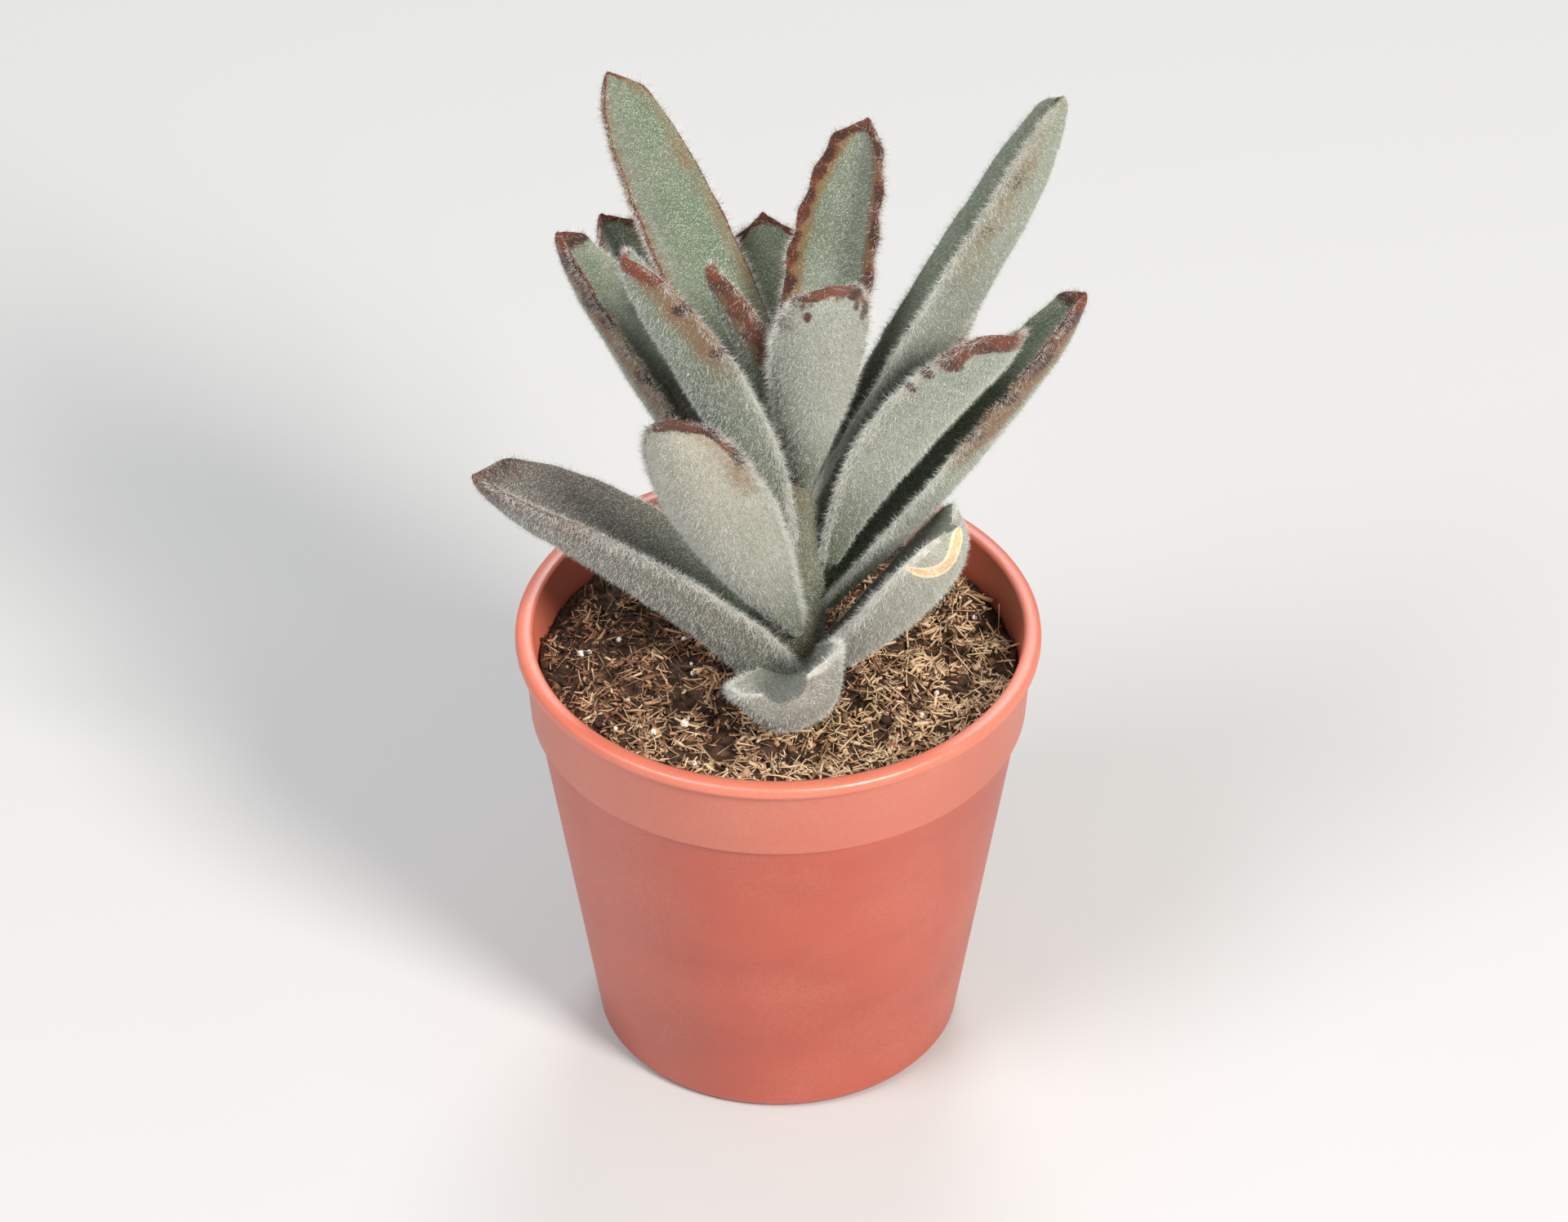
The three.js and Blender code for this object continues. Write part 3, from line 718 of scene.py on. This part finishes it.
def leaf_frames(leaf, stations):
    """The leaf's middle line, and its own three axes, at each share of its length."""
    frames = []
    start = leaf_azimuth(leaf, 0)
    point = stem_centre(leaf["height"])
    point += Vector((math.cos(start), math.sin(start), 0)) * leaf["out"]
    last = 0
    for s in stations:
        point = point + leaf_direction(leaf, (s + last) / 2) * (s - last) * leaf["length"]
        last = s
        azimuth = leaf_azimuth(leaf, s)
        tangent = leaf_direction(leaf, s)
        across = Vector((-math.sin(azimuth), math.cos(azimuth), 0))
        across.rotate(Matrix.Rotation(math.radians(leaf["roll"]), 3, tangent))
        frames.append((point, tangent, across, tangent.cross(across)))
    return frames


def half_width(leaf, s):
    """A sine from the foot to the widest place, then a quarter of an ellipse to the tip."""
    base = min(WIDEST_FOOT, leaf["clasp"] / leaf["width"])
    if s < leaf["widest"]:
        rise = math.sin(math.pi / 2 * s / leaf["widest"]) ** leaf["shoulder"]
        share = base + (1 - base) * rise
    else:
        past = (s - leaf["widest"]) / (1 - leaf["widest"])
        share = leaf["blunt"] + (1 - leaf["blunt"]) * math.sqrt(max(0, 1 - past ** 2))
    return share * leaf["width"] / 2


def scallop(s):
    """0 between the teeth and 1 on their crests."""
    if s <= TEETH_START:
        return 0
    turn = (s - TEETH_START) / (1 - TEETH_START) * TEETH
    return (1 - math.cos(2 * math.pi * turn)) / 2


def blade_marks(leaf, x, s, half):
    """Rust, its darkness, olive and fringe, where x runs from margin to margin."""
    side = leaf["right"] if x > 0 else leaf["left"]
    start = leaf["start"]
    beads = leaf["beads"]
    tip = leaf["tip"]
    to_margin = half * (1 - abs(x))
    to_tip = (1 - s) * leaf["length"]
    # Rust lies along the margin, in beads that are widest and darkest on the crests.
    crest = scallop(s) ** 1.5 if s > TEETH_START else 0.5 + 0.5 * math.sin(BEAD_WAVE * s)
    strength = 1 - 0.6 * beads * (1 - crest)
    reach = leaf["band"] * (0.5 + 0.6 * beads * crest)
    rim = near(0.7 * reach, 1.3 * reach, min(to_margin, to_tip))
    rust = rim * strength * side * smooth_step(start - 0.06, start + 0.06, s)
    dark = leaf["dark"] * (0.4 + 0.6 * crest)
    # A blotch of it covers the tip, and round spots have rust whatever the leaf's strength is.
    blotch = near(0.5 * tip, 1.4 * tip, to_tip + 0.4 * to_margin)
    rust = leaf["rust"] * max(rust, blotch)
    for side_at, s_at, radius in leaf["spots"]:
        apart = math.hypot((x - side_at) * half, 0.65 * (s - s_at) * leaf["length"])
        spot = near(0.3 * radius, 1.4 * radius, apart)
        rust = max(rust, spot)
        dark = max(dark, 0.8 * spot)
    # Olive is a wider band that shows beside the rust. The fringe is white where neither is.
    olive = leaf["olive"] * side * near(0.6, 2.4, to_margin)
    olive *= smooth_step(leaf["olive_start"], leaf["olive_start"] + 0.25, s)
    fringe = leaf["fringe"] * near(0.05, 0.3, to_margin)
    fringe *= (1 - 0.9 * min(1, rust)) * (1 - 0.8 * olive)
    return rust, dark, olive, fringe


def scar_depth(leaf, x, s, half):
    """A healed crescent beside the tip, on the underside, widest in the middle."""
    ahead = (s - leaf["scar"][1]) * leaf["length"]
    inward = (x - leaf["scar"][0]) * half
    turn = (math.degrees(math.atan2(inward, ahead)) + SCAR_SEAM) % 360 - SCAR_SEAM
    share = min(1, max(0, (turn - SCAR_START) / SCAR_TURN))
    reach = SCAR_HALF_WIDTH * math.sin(math.pi * share) ** 0.5
    off = abs(math.hypot(ahead, inward) - SCAR_RADIUS)
    return min(1, max(0, 1.5 * (reach - off) + 0.4)) if reach > 0.05 else 0


def face_sign(face):
    """1 on the upper face, -1 on the lower one and 0 on the margins between them."""
    return 1 if face > 1e-9 else -1 if face < -1e-9 else 0


def blade_spot(leaf, x, s, face, half, axes):
    """A point of the blade's upper or lower face, or of its margin."""
    point, tangent, across, up = axes
    width = leaf["width"]
    size = width / 10  # 1 on a leaf 10 mm wide
    reach = abs(x)
    # The flesh is thick in the middle, thin at the margins and thinner towards the tip.
    taper = rounded_end(s, TAPER_SPAN)
    full = width * LEAF_THICKNESS * (0.72 + 0.28 * math.sin(math.pi * s)) * taper
    thin = width * MARGIN_THICKNESS * (0.5 + 0.5 * taper)
    thick = thin + max(0, full - thin) * (1 - reach ** FLESH_ROUNDING)
    plump = thick * math.sqrt(max(0, 1 - reach ** MARGIN_ROUNDING)) * rounded_end(s, CLOSING_SPAN)
    # It is folded to a channel, which gets shallower as the leaf gets narrower.
    trough = leaf["channel"] * min(1, 2 * half / width)
    middle = trough * (reach ** leaf["cup"] - 0.45) - thick / 2
    # Scallops push the margins out. The corners of the tip are drawn back, and so is a notch
    # on each side of its middle.
    depth = TOOTH_DEPTH * size * leaf["tooth"]
    tooth = depth * scallop(s) * reach ** 5
    notch = 0.5 * depth * math.exp(-((reach - NOTCH_STATION) / NOTCH_WIDTH) ** 2)
    forward = -min(TIP_ROUNDING * x * x * size + notch, TIP_PULL * leaf["length"])
    forward *= smooth_step(TIP_START, 1, s)
    sideways = x * half + math.copysign(tooth, x)
    spot = point + across * sideways + tangent * forward
    wave = SWELLS * size * noise.noise(spot * 0.22) + RIPPLES * noise.noise(spot * 0.8)
    return spot + up * (middle + face_sign(face) * plump / 2 + wave)


def skin_layers(shape):
    """The layers of values at every point that the leaf's skin reads."""
    layers = shape.verts.layers
    blade = layers.float_vector.new("blade")
    marks = layers.float_color.new("marks")
    tones = layers.float_color.new("tones")
    return blade, marks, tones


def close_up(shape):
    """Joins a rolled sheet's margins, fills its ends and turns its faces outwards."""
    bmesh.ops.remove_doubles(shape, verts=shape.verts, dist=TOUCHING)
    bmesh.ops.holes_fill(shape, edges=[edge for edge in shape.edges if edge.is_boundary])
    bmesh.ops.recalc_face_normals(shape, faces=shape.faces)


def blade_shape(leaf, around, along):
    """One leaf as a closed bmesh, with what its colours need at every point."""
    shape = bmesh.new()
    blade, marks, tones = skin_layers(shape)
    scar = shape.verts.layers.float.new("scar")
    # The grid is a square of one unit: X goes round the leaf's section and Y along the leaf.
    bmesh.ops.create_grid(shape, x_segments=around, y_segments=along, size=0.5)
    stations = [1 - (1 - k / along) ** TIP_CROWDING for k in range(along + 1)]
    frames = leaf_frames(leaf, stations)
    for vert in shape.verts:
        row = round((vert.co.y + 0.5) * along)
        turn = 2 * math.pi * (vert.co.x + 0.5)
        s = stations[row]
        x = math.cos(turn)
        face = math.sin(turn)
        half = half_width(leaf, s)
        vert[blade] = (x, s, face)
        vert[marks] = blade_marks(leaf, x, s, half)
        vert[tones] = (leaf["pale"], leaf["green"], leaf["purple"], leaf["cream"])
        if leaf["scar"] and face < 0:
            vert[scar] = scar_depth(leaf, x, s, half)
        vert.co = blade_spot(leaf, x, s, face, half, frames[row]) * MM
    close_up(shape)
    return shape


def leaf_skin():
    finish = Finish("leaf_skin", 0.8, 0.2)
    finish.give(finish.shader["Sheen Weight"], 0.35)
    finish.give(finish.shader["Sheen Roughness"], 0.45)
    blade, marks, tones, scar = (finish.node("ShaderNodeAttribute", {}, attribute_name=name)
                                 for name in ("blade", "marks", "tones", "scar"))
    at = finish.node("ShaderNodeSeparateXYZ", {"Vector": blade["Vector"]})
    mark = finish.node("ShaderNodeSeparateColor", {"Color": marks["Color"]})
    tone = finish.node("ShaderNodeSeparateColor", {"Color": tones["Color"]})
    across, along, face = at["X"], at["Y"], at["Z"]
    rust, dark, olive, fringe = mark["Red"], mark["Green"], mark["Blue"], marks["Alpha"]
    pale, green, purple, cream = tone["Red"], tone["Green"], tone["Blue"], tones["Alpha"]
    patches = finish.pattern(180.0, 4.0, 0.6)
    specks = finish.pattern(2600.0, 5.0, 0.8)
    hairs = finish.pattern(7000.0, 2.0, 0.6)
    mix, plus, times, spread = finish.mix, finish.plus, finish.times, finish.soft_span

    # Grey-green, paler on the back of the blade, near the margins and in soft patches.
    pallor = plus(pale, spread(patches, 0.3, 0.7, -0.25, 0.25))
    pallor = plus(pallor, spread(face, -0.5, 0.5, 0.18, -0.18))
    pallor = plus(pallor, spread(across, 0.55, 0.97, 0.0, 0.2))
    pallor = plus(pallor, spread(across, -0.97, -0.55, 0.2, 0.0))
    skin = mix(SKIN_GREY, SKIN_PALE, spread(pallor, 0.0, 1.0))
    # Cream and purple tints that grow towards the tip, and green in patches and at the base.
    skin = mix(skin, SKIN_CREAM, times(cream, spread(along, 0.2, 0.9, 0.1, 0.9)))
    skin = mix(skin, SKIN_GREEN, times(green, spread(patches, 0.35, 0.65, 0.3, 1.0)))
    skin = mix(skin, SKIN_GREEN, spread(along, 0.02, 0.42, 0.9, 0.0))
    skin = mix(skin, SKIN_PURPLE, times(purple, spread(along, 0.15, 0.8, 0.1, 1.0)))
    # Fine dark and light specks, where the felt is thin and where it lies thick.
    skin = mix(skin, SKIN_GREEN, spread(specks, 0.34, 0.5, 0.55, 0.0))
    skin = mix(skin, SPECK_PALE, spread(hairs, 0.5, 0.7, 0.0, 0.55))
    # The margin's markings, broken up so that they have no clean edge.
    edge = plus(spread(patches, 0.25, 0.75, -0.2, 0.2), spread(specks, 0.3, 0.7, -0.2, 0.2))
    skin = mix(skin, OLIVE, spread(plus(olive, edge), 0.15, 0.8, 0.0, 0.85))
    rust_tone = mix(RUST, RUST_DARK, spread(plus(dark, edge), 0.1, 0.75))
    skin = mix(skin, rust_tone, spread(plus(rust, edge), 0.15, 0.6, 0.0, 0.95))
    skin = mix(skin, MARGIN_PALE, spread(plus(fringe, edge), 0.2, 0.8, 0.0, 0.75))
    # The scar: cream, and tan along its middle.
    skin = mix(skin, SCAR_CREAM, spread(scar["Fac"], 0.3, 0.45))
    skin = mix(skin, SCAR_TAN, spread(plus(scar["Fac"], edge), 0.7, 1.1, 0.0, 0.7))
    finish.paint(skin)
    finish.emboss(specks, 0.7, 0.0001)
    return finish.material


LEAF_SKIN = leaf_skin()
blades = []
for leaf in LEAVES:
    around = BLADE_AROUND * (SCAR_DETAIL if leaf["scar"] else 1)
    piece = add_piece(leaf["name"].replace("leaf", "blade"),
                      blade_shape(leaf, around, BLADE_ALONG), [LEAF_SKIN])
    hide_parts(leaf["name"])
    blades.append(piece)

# ---- Stem and crown -------------------------------------------------------------------------
# One upright green stem, round, with a soft ring where each leaf grows, rooted in the soil. The
# youngest leaves stand folded together at its top. It is a circle drawn up ring by ring.

STEM_DEPTH = 9
STEM_HEIGHT = 28
STEM_RADIUS = 2.4
STEM_TIP_RADIUS = 1.6
STEM_LUMPS = 0.05
NODE_SWELLING = 0.25
STEM_SIDES = 36
STEM_STEPS = 92
NODE_SCAR = Vector((1.4, -1.9, 70.5))  # where a lower leaf once grew
YOUNG_AROUND = 32
YOUNG_ALONG = 60
YOUNG_LOOKS = dict(rust=0.8, start=0.6, band=0.5, beads=0.5, tip=1.2, dark=0.2, pale=0.7,
                   green=0.2)
YOUNG_LEAVES = [
    dict(height=26.5, azimuth=300, length=14, lift=80, bend=6, width=4.6),
    dict(height=27, azimuth=105, length=11, lift=82, bend=6, width=4),
    dict(height=27.4, azimuth=20, length=8, lift=84, bend=6, width=3.2),
]


def stem_radius(height):
    taper = STEM_RADIUS + (STEM_TIP_RADIUS - STEM_RADIUS) * max(0, height / STEM_HEIGHT)
    swelling = max(math.exp(-(height - leaf["height"]) ** 2) for leaf in LEAVES)
    return taper + NODE_SWELLING * swelling


stem_shape = bmesh.new()
stem_blade, stem_marks, stem_tones = skin_layers(stem_shape)
bmesh.ops.create_grid(stem_shape, x_segments=STEM_SIDES, y_segments=STEM_STEPS, size=0.5)
for vert in stem_shape.verts:
    height = -STEM_DEPTH + (STEM_DEPTH + STEM_HEIGHT) * (vert.co.y + 0.5)
    angle = 2 * math.pi * vert.co.x
    out = Vector((math.cos(angle), math.sin(angle), 0))
    lumpy = 1 + STEM_LUMPS * noise.noise(Vector((out.x, out.y, height * 0.3)) * 1.5)
    spot = stem_centre(height) + out * stem_radius(height) * lumpy
    # The skin of a leaf's lower third, with rust on the scar and some olive all over.
    vert[stem_blade] = (0, 0.1 + 0.2 * height / STEM_HEIGHT, -0.3)
    vert[stem_marks] = (near(0.5, 1.1, (spot - NODE_SCAR).length), 1, 0.35, 0)
    vert[stem_tones] = (0.5, 0.15, 0, 0.3)
    vert.co = spot * MM
close_up(stem_shape)
stem = add_piece("stem_stalk", stem_shape, [LEAF_SKIN])
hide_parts("stem")

for k, young in enumerate(YOUNG_LEAVES):
    leaf = leaf_of(widest=0.5, shoulder=1, channel=0.22 * young["width"], **YOUNG_LOOKS, **young)
    piece = add_piece(f"young_blade_{k + 1}", blade_shape(leaf, YOUNG_AROUND, YOUNG_ALONG),
                      [LEAF_SKIN])
    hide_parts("stem")
    blades.append(piece)

# ---- Felt -----------------------------------------------------------------------------------
# The whole plant is covered in short stiff hairs, white and grey over the green, tawny and dark
# over the rust. They are longer, whiter and denser along the margins, where they make a fringe,
# and sparser at the leaves' feet. Each is one narrow sliver that stands out of the skin at an
# angle of its own.

HAIR_LENGTH = 0.4
HAIR_WIDTH = 0.027
HAIR_LEAN = 0.5
HAIRS_PER_MM2 = 37
MOST_HAIRS = 50000  # on one leaf
HAIR_CORNERS = ((-0.5, 0, -0.02), (0.5, 0, -0.02), (0, 0, 1))
FRINGE_SHARE = 0.08  # of the half width, from the margin inwards
FRINGE_DENSITY = 2.5  # shares added at the very margin, as the next one is
FRINGE_LENGTH = 0.9
FOOT_SHARE = 0.35  # of the length, where the felt is thinner by up to the next share
FOOT_BARENESS = 0.7
FELT_SEED = 100
HAIR_COLOURS = {
    "white": (0.66, 0.66, 0.62),
    "grey": (0.3, 0.35, 0.26),
    "tawny": (0.27, 0.115, 0.065),
    "dark": (0.08, 0.032, 0.022),
}
WHITE, GREY, TAWNY, DARK = range(4)
WHITE_SHARE = 0.55
WARM_FROM = 0.4  # strength of rust or olive where hairs turn brown
DARK_FROM = 0.7
STRAY_WHITE = 0.2  # share of white hairs everywhere, and what the fringe adds
FRINGE_WHITE = 0.5


def rows_of(data, key, size, kind=float):
    """One value of every item, as an array with a row for each."""
    values = np.empty(len(data) * size, kind)
    data.foreach_get(key, values)
    return values.reshape(-1, size)


def felt(piece, seed):
    mesh = piece.data
    mesh.calc_loop_triangles()
    points = rows_of(mesh.vertices, "co", 3)
    normals = rows_of(mesh.vertices, "normal", 3)
    blade = rows_of(mesh.attributes["blade"].data, "vector", 3)
    marks = rows_of(mesh.attributes["marks"].data, "color", 4)
    triangles = rows_of(mesh.loop_triangles, "vertices", 3, np.int32)
    a, b, c = (points[triangles[:, k]] for k in range(3))
    areas = np.linalg.norm(np.cross(b - a, c - a), axis=1) / 2
    margin = np.clip((np.abs(blade[:, 0]) - (1 - FRINGE_SHARE)) / FRINGE_SHARE, 0, 1)
    foot = FOOT_BARENESS * (1 - np.clip(blade[:, 1] / FOOT_SHARE, 0, 1))
    weights = areas * (1 + FRINGE_DENSITY * margin[triangles].mean(1) - foot[triangles].mean(1))

    chance = np.random.default_rng(seed)
    hairs = min(MOST_HAIRS, int(areas.sum() / MM ** 2 * HAIRS_PER_MM2))
    chosen = triangles[chance.choice(len(triangles), hairs, p=weights / weights.sum())]
    shares = chance.dirichlet((1, 1, 1), hairs)[:, :, None]
    spots = (points[chosen] * shares).sum(1)
    out = (normals[chosen] * shares).sum(1)
    rust, dark, olive, _ = (marks[chosen] * shares).sum(1).T
    edge = (margin[chosen] * shares[:, :, 0]).sum(1)

    lean = chance.normal(0, HAIR_LEAN, (hairs, 3))
    directions = out / np.linalg.norm(out, axis=1, keepdims=True) + lean
    lengths = HAIR_LENGTH * np.clip(chance.normal(1, 0.35, hairs), 0.4, 2) * MM
    lengths *= 1 + FRINGE_LENGTH * edge
    widths = np.full(hairs, HAIR_WIDTH * MM)
    brown = np.where(dark + chance.normal(0, 0.25, hairs) > DARK_FROM, DARK, TAWNY)
    kinds = np.where(chance.random(hairs) < WHITE_SHARE, WHITE, GREY)
    warm = np.maximum(rust, 0.75 * olive)
    kinds = np.where(warm + chance.normal(0, 0.15, hairs) > WARM_FROM, brown, kinds)
    kinds = np.where(chance.random(hairs) < STRAY_WHITE + FRINGE_WHITE * edge, WHITE, kinds)
    places = turned_places(spots, directions, chance.normal(size=(hairs, 3)), lengths, widths)

    hair = bmesh.new()
    bmesh.ops.create_circle(hair, cap_ends=True, segments=3, radius=1)
    for vert, corner in zip(hair.verts, HAIR_CORNERS):
        vert.co = corner
    strew(piece.name + "_felt", hair, places, kinds, hair_finishes)


hair_finishes = [plain_finish(f"hair_{name}", colour, 0.6)
                 for name, colour in HAIR_COLOURS.items()]
for k, piece in enumerate([*blades, stem]):
    felt(piece, FELT_SEED + k)
